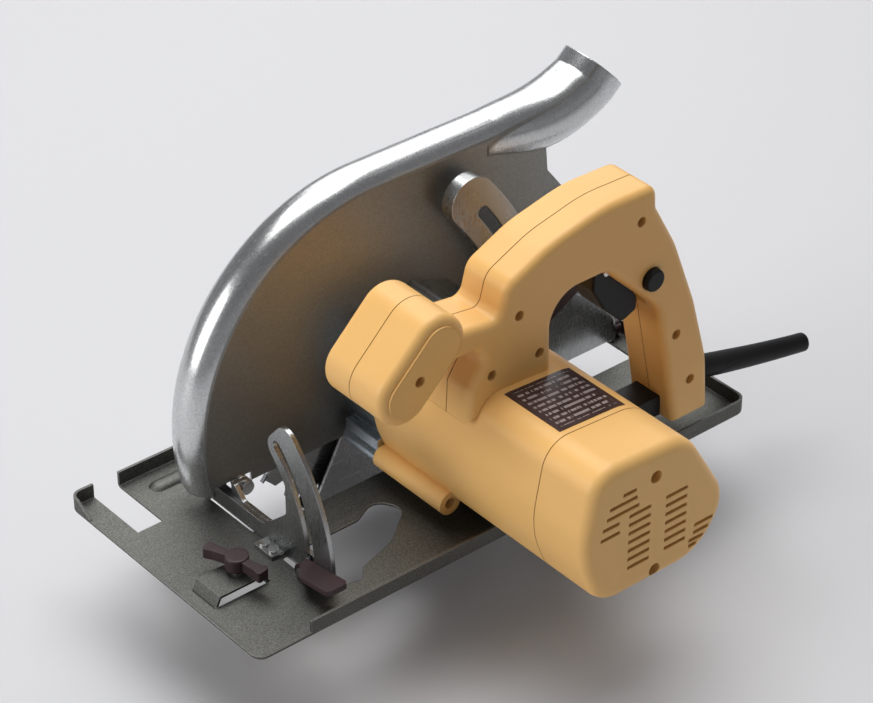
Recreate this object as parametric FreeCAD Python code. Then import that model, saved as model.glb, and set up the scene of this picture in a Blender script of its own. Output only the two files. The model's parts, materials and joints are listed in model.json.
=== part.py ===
import FreeCAD, Part
import math
import os

Vec = FreeCAD.Vector

# ---- driving dimensions, mm. X forward along the cut, Y to the motor side, Z up, origin on the sole ----
base_length = 370.0
base_width = 182.0
sheet = 1.6
flange_height = 10.9
lip_height = 3.0
base_corner = 7.0
bend_radius = 2.4
blade_diameter = 190.0
cut_depth = 44.3
blade_plane = -45.5
tooth_count = 24
bevel_z = 7.6
bevel_max = 45.0
depth_z = 15.9
depth_max = 24.0
motor_z = 58.2
guard_wall = 2.0
guard_half = 16.0
guard_ring = 119.0
guard_near = -30.7
motor_start = 5.0
motor_seam = 145.0
motor_end = 186.0
shell = 2.8
handle_wall = 3.2
handle_far = 52.0
handle_seam = 71.0
handle_near = 90.0
grip_far = 47.0
grip_near = 97.6
gap = 0.3
run_fit = 0.05

half_length = base_length / 2
half_width = base_width / 2
blade_r = blade_diameter / 2
blade_z = blade_r - cut_depth
front_x = half_length - 70.9
depth_x = front_x - 8.4
blade_x = depth_x - 102.5
motor_x = blade_x - 21.2
bevel_y = blade_plane


# ---- helpers ----
def from_axle(points):
    # outlines are drawn from the axle forward, so they follow it
    return [(blade_x + point[0],) + tuple(point[1:]) for point in points]


def box(x0, x1, y0, y1, z0, z1):
    return Part.makeBox(x1 - x0, y1 - y0, z1 - z0, Vec(x0, y0, z0))


def rod_x(y, z, r, x0, x1):
    return Part.makeCylinder(r, x1 - x0, Vec(x0, y, z), Vec(1, 0, 0))


def rod_y(x, z, r, y0, y1):
    return Part.makeCylinder(r, y1 - y0, Vec(x, y0, z), Vec(0, 1, 0))


def rod_z(x, y, r, z0, z1):
    return Part.makeCylinder(r, z1 - z0, Vec(x, y, z0), Vec(0, 0, 1))


def ring_y(x, z, r0, r1, y0, y1):
    return rod_y(x, z, r1, y0, y1).cut(rod_y(x, z, r0, y0, y1))


def place(axis, u, v, w):
    if axis == "x":
        return Vec(w, u, v)
    if axis == "y":
        return Vec(u, w, v)
    return Vec(u, v, w)


def corner_wire(corners, axis, w):
    # straight sides joined by tangent arcs; each corner is (u, v, radius)
    count = len(corners)
    runs = []
    for i in range(count):
        u, v, r = corners[i]
        pu, pv, _ = corners[i - 1]
        nu, nv, _ = corners[(i + 1) % count]
        a = Vec(pu - u, pv - v, 0).normalize()
        b = Vec(nu - u, nv - v, 0).normalize()
        turn = a.getAngle(b)
        reach = r / math.tan(turn / 2) if r else 0
        mid = (a + b)
        if r:
            mid.normalize()
            away = r / math.sin(turn / 2) - r
            runs.append((Vec(u, v, 0) + a * reach, Vec(u, v, 0) + mid * away, Vec(u, v, 0) + b * reach))
        else:
            runs.append((Vec(u, v, 0), None, Vec(u, v, 0)))
    edges = []
    for i in range(count):
        start, mid, end = [None if p is None else place(axis, p.x, p.y, w) for p in runs[i]]
        if mid is not None:
            edges.append(Part.Arc(start, mid, end).toShape())
        follow = runs[(i + 1) % count][0]
        target = place(axis, follow.x, follow.y, w)
        if end.distanceToPoint(target) > 1e-4:
            edges.append(Part.makeLine(end, target))
    return Part.Wire(edges)


def prism(corners, axis, w0, w1):
    face = Part.Face(corner_wire(corners, axis, w0))
    return face.extrude(place(axis, 0, 0, w1 - w0))


def inset_prism(corners, axis, w0, w1, wall):
    face = Part.Face(corner_wire(corners, axis, w0)).makeOffset2D(-wall)
    return face.extrude(place(axis, 0, 0, w1 - w0))


def polar(cu, cv, r, degrees):
    a = math.radians(degrees)
    return cu + r * math.cos(a), cv + r * math.sin(a)


def band(cu, cv, r0, r1, a0, a1, axis, w0, w1):
    # part of a ring between two angles
    def at(r, a):
        u, v = polar(cu, cv, r, a)
        return place(axis, u, v, w0)
    am = (a0 + a1) / 2
    edges = [Part.Arc(at(r1, a0), at(r1, am), at(r1, a1)).toShape()]
    if r0 > 0:
        edges.append(Part.makeLine(at(r1, a1), at(r0, a1)))
        edges.append(Part.Arc(at(r0, a1), at(r0, am), at(r0, a0)).toShape())
        edges.append(Part.makeLine(at(r0, a0), at(r1, a0)))
    else:
        edges.append(Part.makeLine(at(r1, a1), at(0, 0)))
        edges.append(Part.makeLine(at(0, 0), at(r1, a0)))
    return Part.Face(Part.Wire(edges)).extrude(place(axis, 0, 0, w1 - w0))


def rod(axis, u, v, r, w0, w1):
    return Part.makeCylinder(r, w1 - w0, place(axis, u, v, w0), place(axis, 0, 0, 1))


def arc_slot(cu, cv, r, width, a0, a1, axis, w0, w1):
    ends = [rod(axis, *polar(cu, cv, r, a), width / 2, w0, w1) for a in (a0, a1)]
    return band(cu, cv, r - width / 2, r + width / 2, a0, a1, axis, w0, w1).fuse(ends)


def join(first, *others):
    return first.fuse(list(others)).removeSplitter()


def coil(start, axis, radius, wire, pitch, turns):
    path = Part.makeHelix(pitch, pitch * turns, radius)
    ring = Part.Wire(Part.makeCircle(wire, Vec(radius, 0, 0), Vec(0, 1, 0)))
    body = Part.Wire(path).makePipeShell([ring], True, True)
    body.Placement = FreeCAD.Placement(start, FreeCAD.Rotation(Vec(0, 0, 1), axis))
    return body


def hex_rod(axis, u, v, across, w0, w1):
    reach = across / math.sqrt(3)
    return prism([polar(u, v, reach, 60 * k) + (0,) for k in range(6)], axis, w0, w1)


def screw_y(x, z, head_y, tip_y, head_r, shank_r, head_h):
    head = rod_y(x, z, head_r, head_y - head_h, head_y)
    drive = hex_rod("y", x, z, head_r, head_y - head_h / 2, head_y)
    return head.cut(drive).fuse(rod_y(x, z, shank_r, tip_y, head_y - head_h))


def save(name, shape):
    shape.exportStep("parts/" + name + ".step")
    print(name, len(shape.Solids), shape.isValid(), round(shape.Volume))


os.makedirs("parts", exist_ok=True)

# ---- sole plate: pressed tray with openings, bead and guide strap ----
opening_front = half_length - 67.1
opening_rear = 14.0 - half_length
opening_far = bevel_y - 18.5
opening_far_front = bevel_y - 14.8
opening_near = bevel_y + 43.9
opening_near_rear = bevel_y + 50.5
notch_front = half_length - 16.3
notch_rear = half_length - 34.0
near_flange_end = half_length - 36.6
strap_x0 = half_length - 48.0
strap_x1 = half_length - 9.0
strap_y0 = 16.5
strap_y1 = 38.5
strap_top = 8.0
strap_run = 4.0
bead_y = 17.0 - half_width
bead_r = 7.0
bead_rise = 3.0
guide_x = half_length - 34.0
guide_y = 26.5
guide_r = 3.0


def tray(inset, z0, z1):
    x = half_length - inset
    y = half_width - inset
    r = base_corner - inset
    return prism([(x, y, r), (-x, y, r), (-x, -y, r), (x, -y, r)], "z", z0, z1)


plate = tray(0, 0, flange_height)
rims = [e for e in plate.Edges if e.BoundBox.ZMax < sheet / 2]
plate = plate.makeFillet(bend_radius, rims)
plate = plate.cut(tray(sheet, sheet, flange_height + 1))
taper_y = 7.0 - half_width
plate = plate.cut([
    box(near_flange_end, half_length + 1, taper_y + 14, half_width + 1, lip_height, flange_height + 1),
    prism([(taper_y, flange_height + 1, 0), (taper_y + 15, flange_height + 1, 0), (taper_y + 15, lip_height, 0)],
          "x", near_flange_end, half_length + 1),
    box(notch_rear, notch_front, -half_width - 1, bevel_y, -1, flange_height + 1)])
bead_z = sheet + bead_rise - bead_r
bead_end = half_length - 44.0 - bead_r
bead_outer = rod_x(bead_y, bead_z, bead_r, -half_length + 25, bead_end)
bead_outer = bead_outer.fuse(Part.makeSphere(bead_r, Vec(bead_end, bead_y, bead_z)))
bead_inner = rod_x(bead_y, bead_z, bead_r - sheet, -half_length + 25 + sheet, bead_end)
bead_inner = bead_inner.fuse(Part.makeSphere(bead_r - sheet, Vec(bead_end, bead_y, bead_z)))
bead_outer = bead_outer.common(box(-half_length, half_length, -half_width, 0, 0, flange_height))
plate = plate.fuse(bead_outer).cut(bead_inner)
blade_slot = prism([
    (opening_front, opening_near, 5), (opening_front, opening_far_front, 3),
    (front_x - 6, opening_far_front, 0), (front_x - 6, opening_far, 0),
    (opening_rear, opening_far, 4), (opening_rear, opening_near_rear, 4),
    (blade_x - 70, opening_near_rear, 4), (blade_x - 64, opening_near, 4)], "z", -1, flange_height)
window_near = 70.8
window_far = 25.7
window = prism([
    (opening_front + 2, window_far, 3), (opening_front + 2, window_near - 8, 3),
    (front_x - 17, window_near, 0), (front_x - 25, window_near - 9, 3),
    (front_x - 52, window_near - 17, 12), (front_x - 78, window_far + 8, 9),
    (front_x - 68, window_far - 9, 9), (front_x - 50, window_far, 8)], "z", -1, flange_height)


def strap(inset, z0):
    top = strap_top - inset
    return prism([(strap_x0 + inset, z0, 0), (strap_x0 + strap_run + inset / 2, top, 0),
                  (strap_x1 - strap_run - inset / 2, top, 0), (strap_x1 - inset, z0, 0)], "y", strap_y0, strap_y1)


plate = plate.cut([blade_slot, window, box(strap_x0, strap_x1, strap_y0, strap_y1, -1, sheet)])
plate = plate.fuse(strap(0, 0)).cut(strap(sheet, -1))
plate = plate.cut(rod_z(guide_x, guide_y, guide_r + run_fit, 0, strap_top + 1)).removeSplitter()

# ---- bevel quadrants fixed to the sole ----
steel = 2.8
quad_x0 = front_x + 0.2
quad_x1 = quad_x0 + steel
quad_outer = 115.0
quad_inner = 86.0
slot_r = 95.5
slot_width = 7.0
eye_r = 5.7
pin_r = 3.5
arm_top = bevel_z + eye_r
foot_y1 = window_far - 1.0
foot_y0 = foot_y1 - 17.0
foot_len = 8.5
foot_edge = 4.3
quad_round = 9.0
fan_r = 31.0
rear_slot_r = 24.0
rear_quad_x1 = opening_rear - gap
rear_quad_x0 = rear_quad_x1 - steel
rivet_r = 2.0

band_front = band(bevel_y, bevel_z, quad_inner, quad_outer, 0, bevel_max + 5, "x", quad_x0, quad_x1)
tip_corners = [e for e in band_front.Edges if e.BoundBox.YLength < sheet / 4 and e.BoundBox.ZMin > quad_inner / 2]
band_front = band_front.makeFillet(quad_round, tip_corners)
low = sheet + gap
gusset = prism([(bevel_y, low, 0), (bevel_y + quad_outer - 2, low, 0), (bevel_y + quad_outer, bevel_z, 0),
                (bevel_y + quad_inner, bevel_z + 50, 0), (bevel_y + 73.5, bevel_z + 50, 4),
                (bevel_y + 73.5, bevel_z + 25, 4), (bevel_y + 52, arm_top, 6), (bevel_y, arm_top, 0)],
               "x", quad_x0, quad_x1)
front_quadrant = band_front.fuse([gusset, rod_x(bevel_y, bevel_z, eye_r, quad_x0, quad_x1)])
front_quadrant = front_quadrant.fuse(box(quad_x0, quad_x1, foot_y0, foot_y1, sheet, arm_top))
front_quadrant = front_quadrant.fuse(box(quad_x0, quad_x1 + foot_len, foot_y0, foot_y1, sheet, sheet + steel))
front_quadrant = front_quadrant.cut([
    arc_slot(bevel_y, bevel_z, slot_r, slot_width, -0.5, bevel_max + 0.5, "x", quad_x0, quad_x1),
    rod_x(bevel_y, bevel_z, pin_r, quad_x0, quad_x1)])

rear_foot_y0 = bevel_y - 14.0
rear_foot_y1 = bevel_y + 17.0
rear_quadrant = band(bevel_y, bevel_z, rear_slot_r - 7.5, fan_r, -8, bevel_max + 10, "x", rear_quad_x0, rear_quad_x1)
rear_quadrant = rear_quadrant.fuse([
    rod_x(bevel_y, bevel_z, eye_r, rear_quad_x0, rear_quad_x1),
    box(rear_quad_x0, rear_quad_x1, rear_foot_y0, bevel_y + fan_r - 1, low, bevel_z),
    box(rear_quad_x0 - 9, rear_quad_x1, rear_foot_y0, rear_foot_y1, sheet, sheet + steel)])
rear_quadrant = rear_quadrant.cut([
    arc_slot(bevel_y, bevel_z, rear_slot_r, slot_width, -0.5, bevel_max + 0.5, "x", rear_quad_x0, rear_quad_x1),
    rod_x(bevel_y, bevel_z, pin_r, rear_quad_x0, rear_quad_x1),
    rod_x(bevel_y, bevel_z, pin_r + 1.6, rear_quad_x0 - 2.4, rear_quad_x0)])

rivet_spots = [(quad_x1 + foot_edge, foot_y0 + foot_edge), (quad_x1 + foot_edge, foot_y1 - foot_edge),
               (rear_quad_x0 - 4.5, rear_foot_y0 + 4), (rear_quad_x0 - 4.5, rear_foot_y1 - 5)]
rivet_holes = [rod_z(x, y, rivet_r, -1, 3 * steel) for x, y in rivet_spots]
plate = plate.cut(rivet_holes)
front_quadrant = front_quadrant.cut(rivet_holes).removeSplitter()
rear_quadrant = rear_quadrant.cut(rivet_holes).removeSplitter()
rivet_top = sheet + steel
rivets = [rod_z(x, y, rivet_r, 0, rivet_top).fuse(rod_z(x, y, rivet_r + 1.2, rivet_top, rivet_top + 1.3))
          for x, y in rivet_spots]
save("base_plate", plate)
save("front_quadrant", front_quadrant)
save("rear_quadrant", rear_quadrant)
save("quadrant_rivets", Part.makeCompound(rivets))

tilt_x1 = quad_x0 - gap
tilt_x0 = tilt_x1 - steel
foot_x0 = opening_rear
foot_x1 = foot_x0 + steel
front_pin = rod_x(bevel_y, bevel_z, pin_r, tilt_x0 - 3, quad_x1)
front_pin = join(front_pin, rod_x(bevel_y, bevel_z, pin_r + 1.6, quad_x1, quad_x1 + 2.4),
                 rod_x(bevel_y, bevel_z, pin_r + 1.2, tilt_x0 - 3, tilt_x0 - gap))
rear_pin = rod_x(bevel_y, bevel_z, pin_r, rear_quad_x0, foot_x1 + 3)
rear_pin = join(rear_pin, rod_x(bevel_y, bevel_z, pin_r + 1.6, rear_quad_x0 - 2.4, rear_quad_x0),
                rod_x(bevel_y, bevel_z, pin_r + 1.2, foot_x1 + gap, foot_x1 + 3))
save("front_bevel_pin", front_pin)
save("rear_bevel_pin", rear_pin)

# ---- rip guide wing screw ----
hub_r = 7.0
hub_z0 = strap_top + 3.5
hub_z1 = hub_z0 + 8.5
wing_reach = 21.0
wing_angle = 100.0
guide_screw = rod_z(guide_x, guide_y, guide_r, strap_top - sheet + 0.2, hub_z0)
save("guide_screw", guide_screw)
wing = prism([(hub_r - 3, -2.4, 0), (wing_reach - 6, -3.0, 1), (wing_reach, -4.4, 1.5), (wing_reach, 4.4, 1.5),
              (wing_reach - 6, 3.0, 1), (hub_r - 3, 2.4, 0)], "z", hub_z0 + 1, hub_z1 - 1)
knob = rod_z(0, 0, hub_r, hub_z0, hub_z1)
rims = [e for e in knob.Edges if e.BoundBox.ZMin > hub_z1 - 1e-3]
knob = knob.makeFillet(1.0, rims)
for turn in (wing_angle, wing_angle + 190):
    arm = wing.copy()
    arm.rotate(Vec(0, 0, 0), Vec(0, 0, 1), turn)
    knob = knob.fuse(arm)
knob.translate(Vec(guide_x, guide_y, 0))
save("guide_wing_knob", knob.removeSplitter())

# ---- tilting frame: front bracket, depth arc, bolts and pins ----
ear_r = 5.0
ear_y1 = bevel_y + 20.1
ear_y0 = ear_y1 - 3.0
bolt_y, bolt_z = polar(bevel_y, bevel_z, slot_r, 0)
bolt_r = 3.2
pivot_r = 2.6
bracket = prism([(bevel_y, low, 0), (bolt_y + 7, low, 2), (bolt_y + 7, arm_top, 4), (ear_y1 + 8, arm_top, 4),
                 (ear_y1, depth_z + ear_r, 2), (ear_y0 - 0.1, depth_z + ear_r, 0), (ear_y0 - 0.1, arm_top, 0),
                 (bevel_y, arm_top, 0)], "x", tilt_x0, tilt_x1)
bracket = bracket.fuse([rod_x(bevel_y, bevel_z, eye_r, tilt_x0, tilt_x1),
                        box(depth_x, tilt_x0, ear_y0, ear_y1, depth_z - ear_r, depth_z + ear_r),
                        rod_y(depth_x, depth_z, ear_r, ear_y0, ear_y1)])
bracket = bracket.cut([rod_x(bevel_y, bevel_z, pin_r + run_fit, tilt_x0, tilt_x1),
                       rod_x(bolt_y, bolt_z, bolt_r, tilt_x0, tilt_x1),
                       rod_y(depth_x, depth_z, pivot_r, ear_y0, ear_y1)])
save("front_tilt_bracket", bracket.removeSplitter())

arc_y1 = bevel_y + 32.0
arc_y0 = arc_y1 - 3.0
arc_inner = 194.0
arc_outer = 226.0
arc_mid = (arc_inner + arc_outer) / 2
arc_top = 40.0
arc_end_r = (arc_outer - arc_inner) / 2
lip_wall = 2.0
arc_low = -3.0
arc_slot_width = 8.0
bolt_angle = 8.6
flange_back = 6.0
arc_bottom = 5.3
arc = band(depth_x, depth_z, arc_inner, arc_outer, 180 - arc_top, 180 - arc_low, "y", arc_y0, arc_y1)
rear_plate = prism([(depth_x - arc_inner - 2, arc_bottom, 0), (foot_x0, arc_bottom, 0), (foot_x0, 21, 3),
                    (foot_x0 + 17.5, 43, 8), (foot_x0 + 32, 52, 8), (depth_x - arc_outer + 12, 82, 0),
                    (depth_x - arc_inner - 8, 60, 0)], "y", arc_y0, arc_y1)
arc_lip = band(depth_x, depth_z, arc_inner, arc_inner + lip_wall, 180 - arc_top, 180 - arc_low, "y",
               arc_y0 - flange_back, arc_y1)
end_x, end_z = polar(depth_x, depth_z, arc_mid, 180 - arc_top)
round_end = rod_y(end_x, end_z, arc_end_r, arc_y0, arc_y1)
tip_lip = band(end_x, end_z, arc_end_r - lip_wall, arc_end_r, -arc_top, 180 - arc_top - 30, "y",
               arc_y0 - flange_back, arc_y1)
foot = prism([(bevel_y, bevel_z - 2.3, 0), (arc_y1, bevel_z - 2.3, 0), (arc_y1, 21, 0), (bevel_y + 12, 21, 4),
              (bevel_y, bevel_z + eye_r, 2)], "x", foot_x0, foot_x1)
rear_bolt_y, rear_bolt_z = polar(bevel_y, bevel_z, rear_slot_r, 0)
arc = arc.fuse([rear_plate, round_end, arc_lip, tip_lip, foot, rod_x(bevel_y, bevel_z, eye_r, foot_x0, foot_x1)])
arc = arc.cut([
    box(-half_length, depth_x, arc_y0 - 10, arc_y1 + 1, arc_bottom - 40, arc_bottom),
    arc_slot(depth_x, depth_z, arc_mid, arc_slot_width, 180 - bolt_angle + 1, 180 - bolt_angle - depth_max - 4, "y",
             arc_y0, arc_y1),
    rod_x(bevel_y, bevel_z, pin_r + run_fit, foot_x0, foot_x1),
    rod_x(rear_bolt_y, rear_bolt_z, bolt_r, foot_x0, foot_x1)])
save("depth_arc", arc.removeSplitter())

lever_x0 = quad_x1 + gap
lever_x1 = lever_x0 + 7.0
bolt = rod_x(bolt_y, bolt_z, bolt_r, tilt_x0 - 2.5, lever_x1 + 0.8)
bolt = join(bolt, rod_x(bolt_y, bolt_z, bolt_r + 2.2, tilt_x0 - 2.5, tilt_x0))
save("bevel_clamp_bolt", bolt)
rear_knob_x1 = rear_quad_x0 - gap
rear_knob_x0 = rear_knob_x1 - 6.5
rear_bolt = rod_x(rear_bolt_y, rear_bolt_z, bolt_r, rear_knob_x0 + 1.3, foot_x1 + 2.5)
rear_bolt = join(rear_bolt, rod_x(rear_bolt_y, rear_bolt_z, bolt_r + 1.8, foot_x1, foot_x1 + 2.5))
save("rear_clamp_bolt", rear_bolt)
lever_r = 5.7
lever = rod_x(bolt_y, bolt_z, lever_r, lever_x0, lever_x1)
wing_length = 36.0
wing_width = 14.5
wing_thick = 3.4
wing_rise = 9.0
lever_wing = prism([(lever_x0, bolt_y, 0), (lever_x1, bolt_y, 0), (lever_x0 + wing_width, bolt_y + 10, 3),
                    (lever_x0 + wing_width, bolt_y + wing_length, 3.5), (lever_x0, bolt_y + wing_length, 3.5)],
                   "z", bolt_z + lever_r - wing_thick, bolt_z + lever_r)
lever_wing.rotate(Vec(lever_x0, bolt_y, bolt_z), Vec(1, 0, 0), wing_rise)
lever = lever.fuse(lever_wing).cut(rod_x(bolt_y, bolt_z, bolt_r + run_fit, lever_x0, lever_x0 + wing_width))
save("bevel_clamp_lever", lever.removeSplitter())
rear_knob = rod_x(rear_bolt_y, rear_bolt_z, lever_r, rear_knob_x0, rear_knob_x1)
flutes = [rod_x(*polar(rear_bolt_y, rear_bolt_z, lever_r + 0.5, 45 * k), 1.1, rear_knob_x0, rear_knob_x1)
          for k in range(8)]
rear_knob = rear_knob.cut(flutes + [rod_x(rear_bolt_y, rear_bolt_z, bolt_r + run_fit, rear_knob_x0 + 1, rear_knob_x1)])
save("rear_clamp_knob", rear_knob)

# ---- upper guard with dust spout ----
guard_zc = blade_z - 1.7
guard_far = blade_plane - guard_half
guard_lip = 14.0
spout_z = guard_zc + guard_ring
hub_hole = 19.0
ear_out = ear_y0 - 0.5


def guard_section(inset, low):
    # half section in the plane through the axle: flat near wall, round rim, flat far wall
    half = guard_half - inset
    near = guard_near - inset - blade_plane
    reach = guard_ring + math.sqrt(half * half - near * near)
    points = [Vec(blade_x, blade_plane + near, low), Vec(blade_x, blade_plane + near, guard_zc + reach),
              Vec(blade_x, blade_plane, spout_z + half), Vec(blade_x, blade_plane - half, spout_z),
              Vec(blade_x, blade_plane - half, low)]
    wire = Part.Wire([Part.makeLine(points[0], points[1]), Part.Arc(points[1], points[2], points[3]).toShape(),
                      Part.makeLine(points[3], points[4]), Part.makeLine(points[4], points[0])])
    return Part.Face(wire)


def guard_disc(inset):
    return guard_section(inset, guard_zc).revolve(Vec(blade_x, 0, guard_zc), Vec(0, 1, 0), 180)


def guard_tail(inset):
    x = blade_x - 165.2 + inset
    outline = [(blade_x, spout_z + 40, 0), (blade_x - 125 + inset, spout_z + 40, 0),
               (blade_x - 131.2 + inset, spout_z - 31, 0), (blade_x - 154 + inset, spout_z - 61, 60),
               (x, guard_zc + 20, 60), (x, guard_lip - 5, 0), (blade_x, guard_lip - 5, 0)]
    run = guard_section(inset, guard_lip - 5).extrude(Vec(-200, 0, 0))
    return run.common(prism(outline, "y", guard_far - 5, guard_near + 5))


# stations along the spout: distance behind the axle, drop, heading, radius change
spout_path = [(84, 0.3, 0, -0.6), (102, 0.6, 2, 1.0), (130, 2.2, -2, 3.6), (156, -2.5, -24, 4.5),
              (172.1, -9.8, -42, 4.5)]
collar = 10.0


def spout(inset, extra):
    rings = []
    for back, drop, heading, flare in spout_path:
        ring = Part.Wire(Part.makeCircle(guard_half + flare - inset, Vec(0, 0, 0), Vec(-1, 0, 0)))
        ring.rotate(Vec(0, 0, 0), Vec(0, 1, 0), -heading)
        ring.translate(Vec(blade_x - back, blade_plane, spout_z - drop))
        rings.append(ring)
    run = math.radians(heading)
    mouth = Part.makeCylinder(guard_half + flare - inset, collar + extra,
                              Vec(blade_x - back, blade_plane, spout_z - drop),
                              Vec(-math.cos(run), 0, -math.sin(run)))
    return Part.makeLoft(rings, True, False).fuse(mouth)


guard = guard_disc(0).fuse([guard_tail(0), spout(0, 0)])
guard = guard.cut(guard_disc(guard_wall).fuse([guard_tail(guard_wall), spout(guard_wall, 2)]))
lip_cut = [
    box(-half_length * 2, half_length * 2, guard_far - 9, guard_near + 9, -blade_diameter, guard_lip),
    box(depth_x - 8, depth_x + 18.5, guard_near - 4, guard_near + 2, 0, guard_lip + 6),
    prism([(blade_plane + 3.5, guard_lip - 1, 0), (guard_far - 1, guard_lip + 11.5, 0), (guard_far - 1, 0, 0),
           (blade_plane + 3.5, 0, 0)], "x", depth_x - 8, half_length)]
guard = guard.cut(lip_cut)
bolt_x, bolt_h = polar(depth_x, depth_z, arc_mid, 180 - bolt_angle)
guard = guard.fuse([rod_y(depth_x, depth_z, ear_r, guard_near - guard_wall, ear_out),
                    rod_y(bolt_x, bolt_h, 7.5, guard_near - 1, arc_y0 - gap)])
access_r = 30.0
case_screws = [polar(blade_x, blade_z, 33, a) for a in (35, 125, 215, 305)]
guard = guard.cut([rod_y(blade_x, blade_z, hub_hole, guard_near - guard_wall, guard_near + 2),
                   rod_y(blade_x, blade_z, access_r, guard_far - 1, guard_far + guard_wall + 1),
                   rod_y(depth_x, depth_z, pivot_r + run_fit, guard_near - guard_wall, ear_out),
                   rod_y(bolt_x, bolt_h, bolt_r, guard_near - 3, arc_y0)])
guard = guard.cut([rod_y(x, z, 2.5, guard_near - guard_wall, guard_near + 2) for x, z in case_screws])
save("upper_guard", guard.removeSplitter())

pivot = rod_y(depth_x, depth_z, pivot_r, guard_near - guard_wall - gap - 1.8, ear_y1 + 2)
pivot = join(pivot, rod_y(depth_x, depth_z, 4.4, guard_near - guard_wall - gap - 1.8, guard_near - guard_wall - gap),
             rod_y(depth_x, depth_z, 4.4, ear_y1, ear_y1 + 2))
save("depth_pivot_pin", pivot)
depth_bolt = rod_y(bolt_x, bolt_h, bolt_r, guard_near - guard_wall - 2.5, arc_y1 + 9)
depth_bolt = join(depth_bolt, rod_y(bolt_x, bolt_h, 6.2, guard_near - guard_wall - 2.5, guard_near - guard_wall))
save("depth_clamp_bolt", depth_bolt)
depth_lever = rod_y(bolt_x, bolt_h, 8.5, arc_y1 + gap, arc_y1 + 8)
reach_u, reach_v = polar(bolt_x, bolt_h, 46, 148)
side_u, side_v = math.sin(math.radians(148)), -math.cos(math.radians(148))
depth_lever = depth_lever.fuse([
    prism([(bolt_x - 5 * side_u, bolt_h - 5 * side_v, 0), (bolt_x + 5 * side_u, bolt_h + 5 * side_v, 0),
           (reach_u + 7 * side_u, reach_v + 7 * side_v, 4), (reach_u - 7 * side_u, reach_v - 7 * side_v, 4)],
          "y", arc_y1 + 2.5, arc_y1 + 6.5)]).cut(rod_y(bolt_x, bolt_h, bolt_r + run_fit, arc_y1, arc_y1 + 9))
save("depth_clamp_lever", depth_lever.removeSplitter())

# ---- gear case ----
motor_outline = from_axle([(23.8, 105.5, 18), (-45.2, 101.5, 30), (-78.2, 46, 24), (-58.2, 13.4, 34),
                           (18.8, 13.4, 22), (34.3, 52, 60)])
nose_y = guard_near - 9.7
case_wall = 3.5
bearing_r = 16.0
bearing_small = 11.0
bush_r = 8.0
case_rear = motor_start - 8.0
boss_x = blade_x + 25.3
boss_z = 19.5
case = inset_prism(motor_outline, "y", guard_near, motor_start, 3)
case = case.cut(inset_prism(motor_outline, "y", guard_near + case_wall, case_rear, 3 + case_wall))
case = case.fuse([
    rod_y(blade_x, blade_z, hub_hole, nose_y, guard_near + case_wall),
    rod_y(boss_x, boss_z, 6.2, guard_near + 6, motor_start),
    box(boss_x - 9, boss_x + 4, guard_near + 6, motor_start, boss_z - 1, boss_z + 12),
    rod_y(blade_x + 17.8, 18.4, 2.6, guard_near, motor_start),
    rod_y(blade_x - 26.8, 99.4, 2.6, guard_near, motor_start),
    prism(from_axle([(-31.2, 97, 0), (-53.2, 92, 0), (-53.8, 89, 0), (-31.2, 93, 0)]), "y", guard_near, guard_near + 22)])
case = case.cut([
    rod_y(blade_x, blade_z, bearing_r, nose_y + 1, guard_near + case_wall),
    rod_y(blade_x, blade_z, bearing_r - 5, nose_y, nose_y + 1),
    rod_y(motor_x, motor_z, bearing_small, case_rear, motor_start),
    rod_y(blade_x, blade_z, bush_r, case_rear, motor_start - 1),
    rod_y(boss_x, boss_z, 2.0, guard_near + 12, motor_start)])
groove = ring_y(blade_x, blade_z, hub_hole - 0.8, hub_hole, nose_y + 0.4, nose_y + 1.2)
case = case.cut(groove)
case = case.cut([rod_y(x, z, 2.5, guard_near, guard_near + case_wall) for x, z in case_screws])
save("gear_case", case.removeSplitter())
screws = []
for x, z in case_screws:
    head = rod_y(x, z, 4.2, guard_near - guard_wall - 2.2, guard_near - guard_wall)
    head = head.cut(hex_rod("y", x, z, 4.2, guard_near - guard_wall - 2.2, guard_near - guard_wall - 1))
    screws.append(head.fuse(rod_y(x, z, 2.5, guard_near - guard_wall, guard_near + case_wall)))
save("gear_case_screws", Part.makeCompound(screws))


def bearing(x, z, r0, r1, y0, y1):
    third = (r1 - r0) / 3
    races = [ring_y(x, z, r0, r0 + third, y0, y1), ring_y(x, z, r1 - third, r1, y0, y1)]
    cage = ring_y(x, z, r0 + third, r1 - third, y0 + 1, y1 - 1)
    return join(races[0], races[1], cage)


spindle_r = 7.0
spindle_end = motor_start - 3.0
save("spindle_bearing", bearing(blade_x, blade_z, spindle_r + run_fit, bearing_r, nose_y + 1, guard_near + 1))
save("spindle_bush", ring_y(blade_x, blade_z, 5 + run_fit, bush_r, case_rear, motor_start - 1))
save("front_motor_bearing", bearing(motor_x, motor_z, 4 + run_fit, bearing_small, case_rear, motor_start - 1))
retainer = ring_y(blade_x, blade_z, hub_hole - 0.8, hub_hole + 3, nose_y + 0.4, nose_y + 1.2)
save("guard_retaining_ring", retainer)

# ---- blade set ----
module = 1.25
gear_teeth = 28
pinion_teeth = 8
mesh_angle = math.degrees(math.atan2(motor_z - blade_z, motor_x - blade_x))
gear_y0 = guard_near + 9.0
gear_y1 = gear_y0 + 12.0


def gear(x, z, teeth, y0, y1, first):
    pitch_r = module * teeth / 2
    step_a = 360.0 / teeth
    root = pitch_r - 1.2 * module
    tip_r = pitch_r + 0.75 * module
    points = []
    for k in range(teeth):
        mid = first + k * step_a
        for part, r in ((-0.27, root), (-0.10, tip_r), (0.10, tip_r), (0.27, root)):
            points.append(polar(x, z, r, mid + part * step_a) + (0,))
    return prism(points, "y", y0, y1)


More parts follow.
